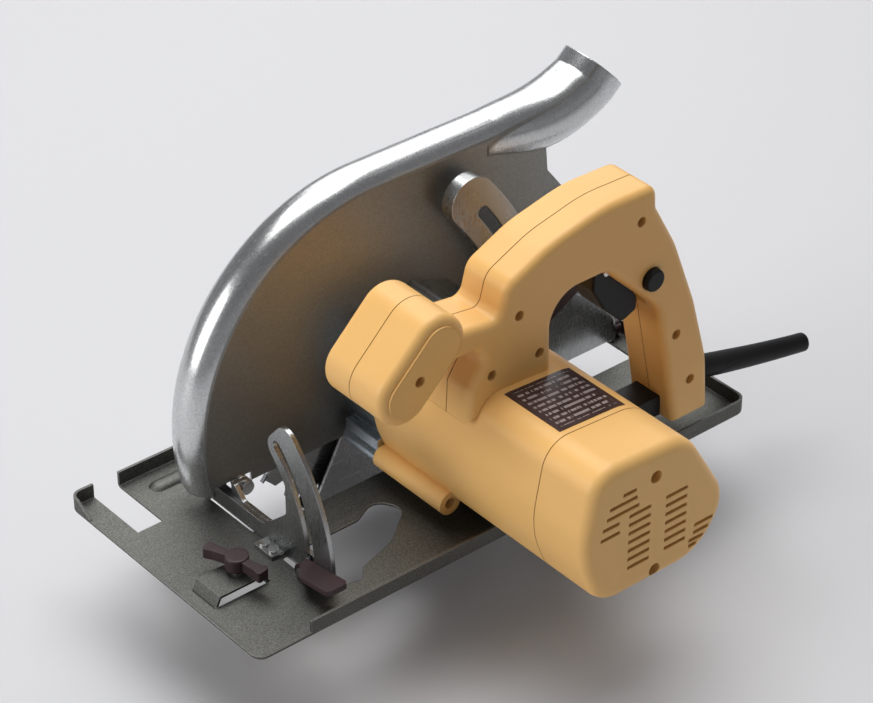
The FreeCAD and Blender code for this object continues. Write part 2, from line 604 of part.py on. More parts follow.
spindle = join(rod_y(blade_x, blade_z, spindle_r, blade_plane - 1.2, guard_near + 4.7),
               rod_y(blade_x, blade_z, 6, guard_near + 4.7, case_rear - 1),
               rod_y(blade_x, blade_z, 5, case_rear - 1, spindle_end))
spindle = spindle.cut(rod_y(blade_x, blade_z, 4, blade_plane - 1.2, guard_near))
save("spindle", spindle)
wheel = gear(blade_x, blade_z, gear_teeth, gear_y0, gear_y1, mesh_angle + 180.0 / gear_teeth)
save("spindle_gear", wheel.cut(rod_y(blade_x, blade_z, 6, gear_y0, gear_y1)))
kerf = 2.4
body_t = 1.6
bore_r = 15.0
flange_r = 22.0
inner_y1 = nose_y - 0.4
inner = rod_y(blade_x, blade_z, flange_r, blade_plane + body_t / 2, inner_y1)
inner = join(inner, rod_y(blade_x, blade_z, bore_r, blade_plane - body_t / 2, blade_plane + body_t / 2))
save("inner_flange", inner.cut(rod_y(blade_x, blade_z, spindle_r, blade_plane - body_t / 2, inner_y1)))
outer_y0 = blade_plane - body_t / 2 - 3.5
outer = rod_y(blade_x, blade_z, flange_r - 2, outer_y0, blade_plane - body_t / 2)
outer = outer.cut(rod_y(blade_x, blade_z, 4, outer_y0, blade_plane))
outer = outer.cut(rod_y(blade_x, blade_z, spindle_r + 0.2, blade_plane - 1.4, blade_plane))
save("outer_flange", outer)
arbor_bolt = join(hex_rod("y", blade_x, blade_z, 13, outer_y0 - 5.5, outer_y0),
                  rod_y(blade_x, blade_z, 4, outer_y0, guard_near - 0.5))
save("arbor_bolt", arbor_bolt)
teeth_points = []
tooth_step = 360.0 / tooth_count
for k in range(tooth_count):
    a = k * tooth_step - 6
    for drop, turn, r in ((2.2, 0, 0), (5.5, 0.6, 0), (11.5, 0.9, 1.6), (11, 5.2, 2), (3.2, 8.4, 0.5)):
        teeth_points.append(polar(blade_x, blade_z, blade_r - drop, a + turn) + (r,))
disc = prism(teeth_points, "y", blade_plane - body_t / 2, blade_plane + body_t / 2)
disc = disc.cut(rod_y(blade_x, blade_z, bore_r, blade_plane - 2, blade_plane + 2))
for k in range(4):
    a = 90 * k - 3
    slit = box(0, 20, -2, 2, -0.5, 0.5).fuse(rod_y(0, 0, 2.2, -2, 2))
    slit.rotate(Vec(0, 0, 0), Vec(0, 1, 0), -a)
    u, v = polar(blade_x, blade_z, blade_r - 27, a)
    slit.translate(Vec(u, blade_plane, v))
    disc = disc.cut(slit)
save("blade", disc)
carbides = []
for k in range(tooth_count):
    a = k * tooth_step - 6
    pad = [polar(blade_x, blade_z, blade_r - drop, a + turn) + (0,)
           for drop, turn in ((5.5, 0.6), (2.2, 0), (0.3, -0.3), (0, 0.5), (5.5, 1.5))]
    carbides.append(prism(pad, "y", blade_plane - kerf / 2, blade_plane + kerf / 2))
save("blade_tips", Part.makeCompound(carbides))

# ---- lower guard and its spring ----
lower_r = 102.0
lower_wall = 1.5
lower_far = blade_plane - 7.5
lower_near = nose_y + 3.0
hub_in = hub_hole + 0.08
hub_out = hub_hole + 5.0
from_a = -190.0
to_a = -62.0
rim_band = band(blade_x, blade_z, lower_r - lower_wall, lower_r, from_a, to_a, "y", lower_far, lower_near)
near_side = band(blade_x, blade_z, hub_hole + 2, lower_r, from_a, to_a, "y", lower_near - lower_wall, lower_near)
far_side = band(blade_x, blade_z, 62, lower_r, from_a, to_a, "y", lower_far, lower_far + lower_wall)
hub = ring_y(blade_x, blade_z, hub_in, hub_out, lower_near - lower_wall, guard_near - guard_wall - gap)
lower = rim_band.fuse([near_side, far_side, hub]).cut(rod_y(blade_x, blade_z, hub_in, lower_far, guard_near))
save("lower_guard", lower.removeSplitter())
spring_r = hub_out + 1.4
spring_y = guard_near - guard_wall - 0.7
spring = Part.makeTorus(spring_r, 0.6, Vec(blade_x, spring_y, blade_z), Vec(0, 1, 0))
for a in (200, 250):
    u, v = polar(blade_x, blade_z, spring_r, a)
    leg = Part.makeCylinder(0.6, 9, Vec(u, spring_y, v), Vec(u - blade_x, 0, v - blade_z))
    spring = spring.fuse(leg)
save("guard_spring", spring)

# ---- motor ----
back_wall = 12.0
core_y0 = motor_start + 40.0
core_y1 = core_y0 + 52.0
core_r = 38.0
bore_gap = 24.6
rear_bearing_r = 9.5
wall_y0 = motor_seam - back_wall
housing = prism(motor_outline, "y", motor_start, motor_seam)
housing = housing.cut(inset_prism(motor_outline, "y", motor_start, wall_y0, shell))
for y in (core_y0 + 6, core_y1 - 10):
    web = inset_prism(motor_outline, "y", y, y + 4, shell - 0.5)
    housing = housing.fuse(web.cut(rod_y(motor_x, motor_z, core_r, y, y + 4)))
boss_end = motor_start + 61.0
housing = housing.fuse(rod_y(boss_x, boss_z, 7.6, motor_start, boss_end))
cap_screws = from_axle([(-19.8, 85.5), (-21.7, 20.7)])
housing = housing.cut([
    rod_y(boss_x, boss_z, 3.6, boss_end - 8, boss_end), rod_y(boss_x, boss_z, 2.0, motor_start, boss_end),
    rod_y(motor_x, motor_z, rear_bearing_r, wall_y0, wall_y0 + 7), rod_y(motor_x, motor_z, 6, wall_y0, motor_seam)])
housing = housing.cut([rod_y(x, z, 2.0, wall_y0 + 2, motor_seam) for x, z in cap_screws])
vents = [rod_y(*polar(motor_x, motor_z, 24, 60 * k), 6, wall_y0, motor_seam) for k in (0, 1, 2, 3, 4, 5)]
housing = housing.cut(vents)
motor_solid = prism(motor_outline, "y", motor_start, motor_seam)
motor_solid = motor_solid.fuse(rod_y(boss_x, boss_z, 7.6, motor_start, boss_end))
save("motor_housing", housing.removeSplitter())
boss_screw = screw_y(boss_x, boss_z, boss_end - 5, guard_near + 14, 3.6, 2.0, 3)
save("boss_screw", boss_screw)

cap = prism(motor_outline, "y", motor_seam, motor_end)
rims = [e for e in cap.Edges if e.BoundBox.YMin > motor_end - 1e-3]
cap = cap.makeFillet(7.0, rims)
cap = cap.cut(inset_prism(motor_outline, "y", motor_seam, motor_end - 8, shell))
inner_step = inset_prism(motor_outline, "y", motor_end - 8, motor_end - shell, shell + 7)
cap = cap.cut(inner_step)
slot_h = 2.3
slot_shift = motor_x + 18.0
columns = [(31.9 + 5.9 * k, x, x + 16.2) for k in range(7) for x in (-13.7, -41.2)]
# stepped groups at the sides: height, start, end
side_slots = [(60.3, 9, 23.2), (66.6, 9.7, 21.9), (72.7, -4.6, 19.2), (78.6, -3.1, 17.1), (83.9, -2.2, 7.5),
              (37, -62.4, -48.1), (32, -59.2, -47.5), (27.5, -55.5, -44.2), (24, -50.3, -44.2)]
for z, x0, x1 in columns + side_slots:
    cut_slot = box(slot_shift + x0, slot_shift + x1, motor_end - 12, motor_end + 1, z - slot_h / 2, z + slot_h / 2)
    cap = cap.cut(cut_slot)
head_y = motor_end - 6.0
posts = [rod_y(x, z, 5.5, motor_seam, motor_end - shell) for x, z in cap_screws]
cap = cap.fuse(posts)
for x, z in cap_screws:
    cap = cap.cut([rod_y(x, z, 4.0, head_y - 3, motor_end + 1), rod_y(x, z, 2.0, motor_seam, head_y)])
save("end_cap", cap.removeSplitter())
save("end_cap_screws", Part.makeCompound([screw_y(x, z, head_y, wall_y0 + 2, 4.0, 2.0, 3) for x, z in cap_screws]))

label_t = 0.5
label = inset_prism(motor_outline, "y", motor_seam - 50, motor_seam - 4, -label_t)
label = label.cut(prism(motor_outline, "y", motor_seam - 51, motor_seam))
label = label.common(box(motor_x - 16, motor_x + 32, motor_seam - 51, motor_seam, motor_z, 2 * motor_z))
save("rating_label", label)

core = rod_y(motor_x, motor_z, core_r, core_y0, core_y1).cut(rod_y(motor_x, motor_z, bore_gap, core_y0, core_y1))
save("field_core", core)
coils = [ring_y(motor_x, motor_z, 27, 36, core_y0 - 10, core_y0), ring_y(motor_x, motor_z, 27, 36, core_y1, core_y1 + 9)]
save("field_windings", Part.makeCompound(coils))
arm_core_y0 = core_y0 + 2
arm_core_y1 = core_y1 - 2
fan_y0 = motor_start + 8
comm_y0 = wall_y0 - 15
shaft = rod_y(motor_x, motor_z, 4.0, case_rear - 1, fan_y0 - 2)
shaft = join(shaft, rod_y(motor_x, motor_z, 5.0, fan_y0 - 2, wall_y0 - 1),
             rod_y(motor_x, motor_z, 4.0, wall_y0 - 1, wall_y0 + 8),
             rod_y(motor_x, motor_z, 3.4, gear_y1, case_rear - 1),
             gear(motor_x, motor_z, pinion_teeth, gear_y0 - 1, gear_y1 + 1, mesh_angle + 180))
save("armature_shaft", shaft)
arm_core = rod_y(motor_x, motor_z, 24.0, arm_core_y0, arm_core_y1)
slots = [rod_y(*polar(motor_x, motor_z, 21.6, 30 * k), 1.6, arm_core_y0, arm_core_y1) for k in range(12)]
mouths = [rod_y(*polar(motor_x, motor_z, 24.0, 30 * k), 0.9, arm_core_y0, arm_core_y1) for k in range(12)]
save("armature_core", arm_core.cut([rod_y(motor_x, motor_z, 5, arm_core_y0, arm_core_y1)] + slots + mouths))
wound = [ring_y(motor_x, motor_z, 5, 21, arm_core_y0 - 7, arm_core_y0), ring_y(motor_x, motor_z, 5, 21, arm_core_y1,
                                                                              arm_core_y1 + 8)]
save("armature_windings", Part.makeCompound(wound))
save("commutator", ring_y(motor_x, motor_z, 5, 14, comm_y0, wall_y0 - 1.5))
fan = ring_y(motor_x, motor_z, 5, 9, fan_y0, fan_y0 + 14).fuse(ring_y(motor_x, motor_z, 9, 33, fan_y0, fan_y0 + 1.6))
vane = box(9 - 0.5, 33, fan_y0 + 1.6, fan_y0 + 11, -0.7, 0.7)
for k in range(14):
    one = vane.copy()
    one.rotate(Vec(0, 0, 0), Vec(0, 1, 0), 360.0 / 14 * k)
    one.translate(Vec(motor_x, 0, motor_z))
    fan = fan.fuse(one)
save("fan", fan.removeSplitter())
save("rear_motor_bearing", bearing(motor_x, motor_z, 4 + run_fit, rear_bearing_r, wall_y0, wall_y0 + 7))
holders = []
brushes = []
brush_springs = []
for side in (-1, 1):
    lo, hi = sorted((motor_x + side * 18, motor_x + side * 42))
    holder = box(lo, hi, comm_y0 + 2, wall_y0, motor_z - 6, motor_z + 6)
    hole = box(lo - 1, hi + 1, comm_y0 + 3.5, wall_y0 - 2, motor_z - 4, motor_z + 4)
    holders.append(holder.cut(hole).fuse(box(*sorted((motor_x + side * 40.5, motor_x + side * 42)), comm_y0 + 2, wall_y0,
                                             motor_z - 6, motor_z + 6)))
    lo, hi = sorted((motor_x + side * 14.3, motor_x + side * 30))
    brushes.append(box(lo, hi, comm_y0 + 3.5, wall_y0 - 2, motor_z - 4, motor_z + 4))
    mid_y = (comm_y0 + 3.5 + wall_y0 - 2) / 2
    brush_springs.append(coil(Vec(motor_x + side * 30.4, mid_y, motor_z), Vec(side, 0, 0), 2.8, 0.4, 1.95, 5))
save("brush_holders", Part.makeCompound(holders))
save("carbon_brushes", Part.makeCompound(brushes))
save("brush_springs", Part.makeCompound(brush_springs))

# ---- handle and front grip, moulded in two halves ----
body_outline = from_axle([
    (-127.9, 17.8, 2), (-156.2, 17.8, 3), (-153.4, 56, 60), (-141.2, 100, 70), (-123.7, 146, 60), (-106.7, 177, 2),
    (-105.8, 191.9, 7), (-65.2, 193, 90), (-25.2, 184, 70), (4.8, 170, 12), (9.8, 150.5, 6), (48.8, 156, 0),
    (48.8, 137, 0), (15, 137, 8), (31.8, 112, 6), (32.8, 90, 0), (-29.2, 90, 0), (-28.2, 148.3, 20),
    (-69.2, 148.3, 10), (-110.2, 108, 26), (-120.2, 58, 50)])
grip_top = (blade_x + 59.3, 158.0)
grip_low = (blade_x + 81.8, 136.0)
grip_r = 18.5
grip_run = math.hypot(grip_low[0] - grip_top[0], grip_low[1] - grip_top[1])
along_u = (grip_low[0] - grip_top[0]) / grip_run * grip_r
along_v = (grip_low[1] - grip_top[1]) / grip_run * grip_r
end_round = 0.96 * grip_r
grip_outline = [
    (grip_top[0] - along_u + along_v, grip_top[1] - along_v - along_u, end_round),
    (grip_top[0] - along_u - along_v, grip_top[1] - along_v + along_u, end_round),
    (grip_low[0] + along_u - along_v, grip_low[1] + along_v + along_u, end_round),
    (grip_low[0] + along_u + along_v, grip_low[1] + along_v - along_u, end_round)]
edge_round = 5.0
button_x, button_z = blade_x - 103.6, 130.9
button_r = 7.0
screw_spots = from_axle([
    (-93.9, 172.6, handle_near), (-3.8, 147.9, handle_near), (-125.8, 83.1, handle_near), (-139.2, 46, handle_near),
    (-19.1, 116.7, handle_near), (15.5, 116.8, handle_near), (74.3, 143.3, grip_near)])
sleeve_path = from_axle([(-144.2, 38, 7.4), (-171.2, 31.5, 7.3), (-198.2, 24.6, 6.9), (-227.2, 17.8, 6.4),
                         (-255.2, 12, 6.0)])


def sleeve_solid(extra):
    rings = []
    for i, (x, z, r) in enumerate(sleeve_path):
        x0, z0, _ = sleeve_path[max(i - 1, 0)]
        x1, z1, _ = sleeve_path[min(i + 1, len(sleeve_path) - 1)]
        rings.append(Part.Wire(Part.makeCircle(r + extra, Vec(x, handle_seam, z), Vec(x1 - x0, 0, z1 - z0))))
    return Part.makeLoft(rings, True, False)


sleeve_full = sleeve_solid(0)
sleeve_seat = sleeve_solid(run_fit)
trigger_outline = from_axle([(-67.7, 150.5, 3), (-67.2, 132, 4), (-76.2, 116.5, 6), (-91.2, 101.5, 4),
                             (-102.2, 106, 3), (-102.2, 114, 4), (-91.2, 136, 4), (-79.2, 150.5, 3)])
swing_outline = from_axle([(-63.2, 152.5, 3), (-63.2, 126, 4), (-91.2, 97, 4), (-110.2, 102, 3), (-110.2, 118, 4),
                           (-94.5, 141, 4), (-82.2, 152.5, 3)])
trigger_y0 = handle_seam - 11.5
trigger_y1 = handle_seam + 9.5
trigger_pin = (blade_x - 73.7, 144.0)


def half(outer_y, grip_y):
    sign = 1 if outer_y > handle_seam else -1
    lo, hi = sorted((handle_seam, outer_y))
    glo, ghi = sorted((handle_seam, grip_y))
    shape = prism(body_outline, "y", lo, hi)
    shape = shape.makeFillet(edge_round, [e for e in shape.Edges if abs(e.BoundBox.YMin - outer_y) < 1e-3
                                          and abs(e.BoundBox.YMax - outer_y) < 1e-3])
    grip = prism(grip_outline, "y", glo, ghi)
    grip = grip.makeFillet(edge_round, [e for e in grip.Edges if abs(e.BoundBox.YMin - grip_y) < 1e-3
                                        and abs(e.BoundBox.YMax - grip_y) < 1e-3])
    shape = shape.fuse(grip)
    if sign > 0:
        shape = shape.fuse(inset_prism(grip_outline, "y", ghi - 3, ghi + 1.4, edge_round + 0.6))
    hollow = inset_prism(body_outline, "y", *sorted((handle_seam, outer_y - sign * handle_wall)), handle_wall)
    hollow = hollow.fuse(inset_prism(grip_outline, "y", *sorted((handle_seam, grip_y - sign * handle_wall)), handle_wall))
    shape = shape.cut(hollow)
    posts = []
    for x, z, face in screw_spots:
        top = face if sign > 0 else (grip_y if face == grip_near else outer_y)
        posts.append(rod_y(x, z, 5.5, *sorted((handle_seam, top - sign * 1.0))))
    shape = shape.fuse(posts)
    holes = [motor_solid, sleeve_seat]
    for x, z, face in screw_spots:
        if sign > 0:
            holes.append(rod_y(x, z, 3.2, face - 8, face + 3))
            holes.append(rod_y(x, z, 1.6, handle_seam, face - 8))
        else:
            holes.append(rod_y(x, z, 1.6, handle_seam - 14, handle_seam))
    holes.append(prism(swing_outline, "y", trigger_y0 - gap, trigger_y1 + gap))
    holes.append(rod_y(*trigger_pin, 2.0, trigger_y0 - 4, trigger_y1 + 4))
    if sign > 0:
        holes.append(rod_y(button_x, button_z, button_r + gap, handle_seam, handle_near + 1))
    return shape.cut(holes).removeSplitter()


near_half = half(handle_near, grip_near)
far_half = half(handle_far, grip_far)
save("handle_near", near_half)
save("handle_far", far_half)
save("handle_screws", Part.makeCompound([screw_y(x, z, face - 5, handle_seam - 14, 3.2, 1.6, 3)
                                         for x, z, face in screw_spots]))
sleeve_end = Vec(sleeve_path[-1][0], handle_seam, sleeve_path[-1][1])
sleeve_dir = Vec(sleeve_path[-2][0], handle_seam, sleeve_path[-2][1]).sub(sleeve_end).normalize()
save("cable_sleeve", sleeve_full.cut(Part.makeCylinder(3.6, 14, sleeve_end - sleeve_dir, sleeve_dir)))
trigger = prism(trigger_outline, "y", trigger_y0, trigger_y1)
trigger = trigger.makeFillet(1.5, [e for e in trigger.Edges if e.BoundBox.YLength < 1e-3 and e.BoundBox.ZMax < 140])
trigger = trigger.cut(rod_y(*trigger_pin, 2 + run_fit, trigger_y0, trigger_y1))
save("trigger", trigger)
save("trigger_pin", rod_y(*trigger_pin, 2.0, trigger_y0 - 4, trigger_y1 + 4))
button = rod_y(button_x, button_z, button_r, handle_near - handle_wall - 2, handle_near + 4)
button = button.makeFillet(1.4, [e for e in button.Edges if e.BoundBox.YMin > handle_near + 3.9])
button = join(button, rod_y(button_x, button_z, button_r + 1.0, handle_near - handle_wall - 2.3,
                            handle_near - handle_wall - 0.3))
save("lock_button", button)
switch = box(blade_x - 100.2, blade_x - 65.2, handle_seam - 11, handle_seam + 11, 156.5, 180)
switch = switch.cut([rod_y(x, z, 5.7, handle_seam - 20, handle_seam + 20) for x, z, _ in screw_spots])
save("switch_unit", switch)
bridge = box(blade_x - 125.2, blade_x - 63.2, handle_seam - 11, handle_seam + 9, 21, 35)
bridge = bridge.cut([motor_solid, prism(body_outline, "y", handle_far, handle_near)])
save("rear_bridge", bridge)
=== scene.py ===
import json
import bpy
from mathutils import Matrix, Vector


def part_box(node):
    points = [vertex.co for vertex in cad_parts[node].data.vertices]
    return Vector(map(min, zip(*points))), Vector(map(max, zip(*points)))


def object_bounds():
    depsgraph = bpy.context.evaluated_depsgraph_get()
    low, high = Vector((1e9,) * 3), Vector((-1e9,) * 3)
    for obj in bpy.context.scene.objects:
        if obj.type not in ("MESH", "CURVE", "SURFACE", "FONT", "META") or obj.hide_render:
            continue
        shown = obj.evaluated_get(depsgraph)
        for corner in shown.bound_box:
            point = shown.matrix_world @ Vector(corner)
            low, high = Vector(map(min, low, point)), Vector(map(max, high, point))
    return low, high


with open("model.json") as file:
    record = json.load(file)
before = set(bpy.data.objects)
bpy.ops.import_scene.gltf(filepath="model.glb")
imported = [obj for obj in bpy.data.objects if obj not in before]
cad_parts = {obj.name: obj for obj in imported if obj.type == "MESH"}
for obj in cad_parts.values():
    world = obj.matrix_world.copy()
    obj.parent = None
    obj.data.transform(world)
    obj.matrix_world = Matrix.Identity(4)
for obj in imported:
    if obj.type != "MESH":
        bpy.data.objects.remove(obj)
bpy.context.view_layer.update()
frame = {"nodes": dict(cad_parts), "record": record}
print("frame loaded:", len(frame["nodes"]), "pieces of metalwork and mouldings")


def startGroup(name, inputs, outputs):
    group = bpy.data.node_groups.new(name, "ShaderNodeTree")
    for label, kind, value in inputs:
        socket = group.interface.new_socket(name=label, in_out="INPUT", socket_type=kind)
        socket.default_value = value
    for label, kind in outputs:
        group.interface.new_socket(name=label, in_out="OUTPUT", socket_type=kind)
    return group, group.nodes.new("NodeGroupInput"), group.nodes.new("NodeGroupOutput")


def addMath(nodes, links, operation, a, b=None, clamp=False):
    node = nodes.new("ShaderNodeMath")
    node.operation = operation
    node.use_clamp = clamp
    for i, value in enumerate((a, b)):
        if value is None:
            continue
        if isinstance(value, (int, float)):
            node.inputs[i].default_value = value
        else:
            links.new(value, node.inputs[i])
    return node.outputs[0]


def addNoise(nodes, links, vector, scale, detail=3.0, rough=0.55):
    node = nodes.new("ShaderNodeTexNoise")
    if isinstance(scale, (int, float)):
        node.inputs["Scale"].default_value = scale
    else:
        links.new(scale, node.inputs["Scale"])
    node.inputs["Detail"].default_value = detail
    node.inputs["Roughness"].default_value = rough
    links.new(vector, node.inputs["Vector"])
    return node.outputs["Fac"]


def addStretch(nodes, links, vector, stretch, place):
    node = nodes.new("ShaderNodeMapping")
    node.inputs["Scale"].default_value = stretch
    node.inputs["Location"].default_value = place
    links.new(vector, node.inputs["Vector"])
    return node.outputs["Vector"]


edgeWear = {"radius": 0.001, "gain": 6.0, "samples": 6, "breakScale": 90.0, "breakDetail": 4.0,
            "breakRough": 0.7}


def makeEdgeGroup():
    # worn edges: where a softened normal turns away from the true one
    group, gin, gout = startGroup(
        "wornEdge",
        [("Radius", "NodeSocketFloat", edgeWear["radius"]), ("Gain", "NodeSocketFloat", edgeWear["gain"])],
        [("Mask", "NodeSocketFloat"), ("Normal", "NodeSocketVector")])
    n, l = group.nodes, group.links
    soften = n.new("ShaderNodeBevel")
    soften.samples = edgeWear["samples"]
    l.new(gin.outputs["Radius"], soften.inputs["Radius"])
    trueNormal = n.new("ShaderNodeNewGeometry").outputs["Normal"]
    dot = n.new("ShaderNodeVectorMath")
    dot.operation = "DOT_PRODUCT"
    l.new(soften.outputs[0], dot.inputs[0])
    l.new(trueNormal, dot.inputs[1])
    away = addMath(n, l, "SUBTRACT", 1.0, dot.outputs["Value"], clamp=True)
    coords = n.new("ShaderNodeTexCoord").outputs["Object"]
    broken = addNoise(n, l, coords, edgeWear["breakScale"], edgeWear["breakDetail"], edgeWear["breakRough"])
    away = addMath(n, l, "MULTIPLY", away, gin.outputs["Gain"])
    away = addMath(n, l, "MULTIPLY", away, broken, clamp=True)
    l.new(away, gout.inputs["Mask"])
    l.new(soften.outputs[0], gout.inputs["Normal"])
    return group


mottling = {"broad": 12.0, "fine": 900.0, "broadDetail": 5.0, "broadRough": 0.6,
            "fineDetail": 2.0, "fineRough": 0.5}


def makeMottleGroup():
    # two sizes of mottling for colour and gloss, and a fine grain for height
    group, gin, gout = startGroup(
        "mottle",
        [("Broad", "NodeSocketFloat", mottling["broad"]), ("Fine", "NodeSocketFloat", mottling["fine"])],
        [("Patches", "NodeSocketFloat"), ("Specks", "NodeSocketFloat")])
    n, l = group.nodes, group.links
    coords = n.new("ShaderNodeTexCoord").outputs["Object"]
    patches = addNoise(n, l, coords, gin.outputs["Broad"], mottling["broadDetail"], mottling["broadRough"])
    l.new(patches, gout.inputs["Patches"])
    specks = addNoise(n, l, coords, gin.outputs["Fine"], mottling["fineDetail"], mottling["fineRough"])
    l.new(specks, gout.inputs["Specks"])
    return group


drawing = {"stretch": (20.0, 900.0, 900.0), "detail": 3.0, "rough": 0.6,
           "scratchTurn": (0.4, 0.9, 0.6), "scratchStretch": (14.0, 420.0, 420.0),
           "scratchDetail": 2.0, "scratchRough": 0.4, "scratchCut": 0.62, "scratchGain": 9.0}


def makeDrawnGroup():
    # drawn lines along one direction, and a sparse set of longer scratches
    group, gin, gout = startGroup(
        "drawnLines", [("Stretch", "NodeSocketVector", drawing["stretch"])],
        [("Lines", "NodeSocketFloat"), ("Scratches", "NodeSocketFloat")])
    n, l = group.nodes, group.links
    coords = n.new("ShaderNodeTexCoord").outputs["Object"]
    stretched = n.new("ShaderNodeVectorMath")
    stretched.operation = "MULTIPLY"
    l.new(coords, stretched.inputs[0])
    l.new(gin.outputs["Stretch"], stretched.inputs[1])
    lines = addNoise(n, l, stretched.outputs[0], 1.0, drawing["detail"], drawing["rough"])
    l.new(lines, gout.inputs["Lines"])
    turned = n.new("ShaderNodeMapping")
    turned.inputs["Rotation"].default_value = drawing["scratchTurn"]
    turned.inputs["Scale"].default_value = drawing["scratchStretch"]
    l.new(coords, turned.inputs["Vector"])
    thin = addNoise(n, l, turned.outputs["Vector"], 1.0, drawing["scratchDetail"], drawing["scratchRough"])
    thin = addMath(n, l, "SUBTRACT", thin, drawing["scratchCut"])
    l.new(addMath(n, l, "MULTIPLY", thin, drawing["scratchGain"], clamp=True), gout.inputs["Scratches"])
    return group


grinding = {"pitch": 1400.0, "detail": 3.0, "rough": 0.6}


def makeRingGroup():
    # rings round the blade's axle, from the distance across the plane of the blade
    group, gin, gout = startGroup(
        "groundRings", [("Pitch", "NodeSocketFloat", grinding["pitch"])], [("Rings", "NodeSocketFloat")])
    n, l = group.nodes, group.links
    coords = n.new("ShaderNodeTexCoord").outputs["Object"]
    low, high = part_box("blade")
    axle = [(a + b) / 2 for a, b in zip(low, high)]
    flat = addStretch(n, l, coords, (1, 0, 1), (-axle[0], 0, -axle[2]))
    reach = n.new("ShaderNodeVectorMath")
    reach.operation = "LENGTH"
    l.new(flat, reach.inputs[0])
    along = n.new("ShaderNodeCombineXYZ")
    l.new(addMath(n, l, "MULTIPLY", reach.outputs["Value"], gin.outputs["Pitch"]), along.inputs[0])
    l.new(addNoise(n, l, along.outputs[0], 1.0, grinding["detail"], grinding["rough"]), gout.inputs["Rings"])
    return group


edgeGroup = makeEdgeGroup()
mottleGroup = makeMottleGroup()
drawnGroup = makeDrawnGroup()
ringGroup = makeRingGroup()
print("shader groups ready")


def startMaterial(name):
    mat = bpy.data.materials.new(name)
    mat.use_nodes = True
    return mat, mat.node_tree.nodes, mat.node_tree.links, mat.node_tree.nodes["Principled BSDF"]


def addGroup(nodes, group, **values):
    node = nodes.new("ShaderNodeGroup")
    node.node_tree = group
    for label, value in values.items():
        node.inputs[label].default_value = value
    return node


def addRamp(nodes, links, factor, low, high, toLow=0.0, toHigh=1.0):
    node = nodes.new("ShaderNodeMapRange")
    for i, value in enumerate((low, high, toLow, toHigh)):
        node.inputs[i + 1].default_value = value
    links.new(factor, node.inputs[0])
    return node.outputs[0]


def addMix(nodes, links, factor, a, b):
    node = nodes.new("ShaderNodeMix")
    node.data_type = "RGBA"
    links.new(factor, node.inputs["Factor"])
    for socket, value in ((node.inputs["A"], a), (node.inputs["B"], b)):
        if isinstance(value, (tuple, list)):
            socket.default_value = (*value[:3], 1.0)
        else:
            links.new(value, socket)
    return node.outputs["Result"]


def addBump(nodes, links, height, depth, normal=None):
    node = nodes.new("ShaderNodeBump")
    node.inputs["Strength"].default_value = 1.0
    node.inputs["Distance"].default_value = depth
    links.new(height, node.inputs["Height"])
    if normal is not None:
        links.new(normal, node.inputs["Normal"])
    return node.outputs["Normal"]


def addPlaneLine(nodes, links, axis, place, width):
    # 1 within width of a plane across the given axis
    coords = nodes.new("ShaderNodeTexCoord").outputs["Object"]
    split = nodes.new("ShaderNodeSeparateXYZ")
    links.new(coords, split.inputs[0])
    off = addMath(nodes, links, "SUBTRACT", split.outputs[axis], place)
    off = addMath(nodes, links, "ABSOLUTE", off)
    return addRamp(nodes, links, off, width * 0.6, width, 1.0, 0.0)


# how much each effect counts in every moulding
mouldBlend = {"tone": (0.3, 0.7), "gloss": (0.2, 0.8), "glossDown": 0.05, "glossUp": 0.07,
              "seamWidth": 0.00032, "seamCut": 6.0, "specular": 0.5}


def moulded(name, look):
    # moulded plastic: spark-eroded grain, faint patches, paler rubbed edges
    mat, nodes, links, shader = startMaterial(name)
    patch = addGroup(nodes, mottleGroup, Broad=look["broad"], Fine=look["grain"])
    edge = addGroup(nodes, edgeGroup, Radius=look["round"], Gain=look["edgeGain"])
    drawn = addGroup(nodes, drawnGroup)
    tone = addRamp(nodes, links, patch.outputs["Patches"], *mouldBlend["tone"])
    colour = addMix(nodes, links, tone, look["dark"], look["light"])
    colour = addMix(nodes, links, edge.outputs["Mask"], colour, look["worn"])
    rough = addRamp(nodes, links, patch.outputs["Patches"], *mouldBlend["gloss"],
                    look["rough"] - mouldBlend["glossDown"], look["rough"] + mouldBlend["glossUp"])
    scuff = addMath(nodes, links, "MULTIPLY", drawn.outputs["Scratches"], look["scuff"])
    rough = addMath(nodes, links, "ADD", rough, scuff, clamp=True)
    height = patch.outputs["Specks"]
    if "seam" in look:
        line = addPlaneLine(nodes, links, 1, look["seam"], mouldBlend["seamWidth"])
        colour = addMix(nodes, links, line, colour, look["seamTone"])
        cut = addMath(nodes, links, "MULTIPLY", line, mouldBlend["seamCut"])
        height = addMath(nodes, links, "SUBTRACT", height, cut)
    links.new(colour, shader.inputs["Base Color"])
    links.new(rough, shader.inputs["Roughness"])
    links.new(addBump(nodes, links, height, look["depth"], edge.outputs["Normal"]), shader.inputs["Normal"])
    shader.inputs["Specular IOR Level"].default_value = look.get("specular", mouldBlend["specular"])
    return mat


# how much each effect counts in every bare metal
metalBlend = {"tone": (0.3, 0.72), "speck": (0.35, 0.75), "line": (0.25, 0.75), "smudge": (0.45, 0.8),
              "scratchDull": 0.08, "speckHeight": 0.6, "wallReach": 0.0009}


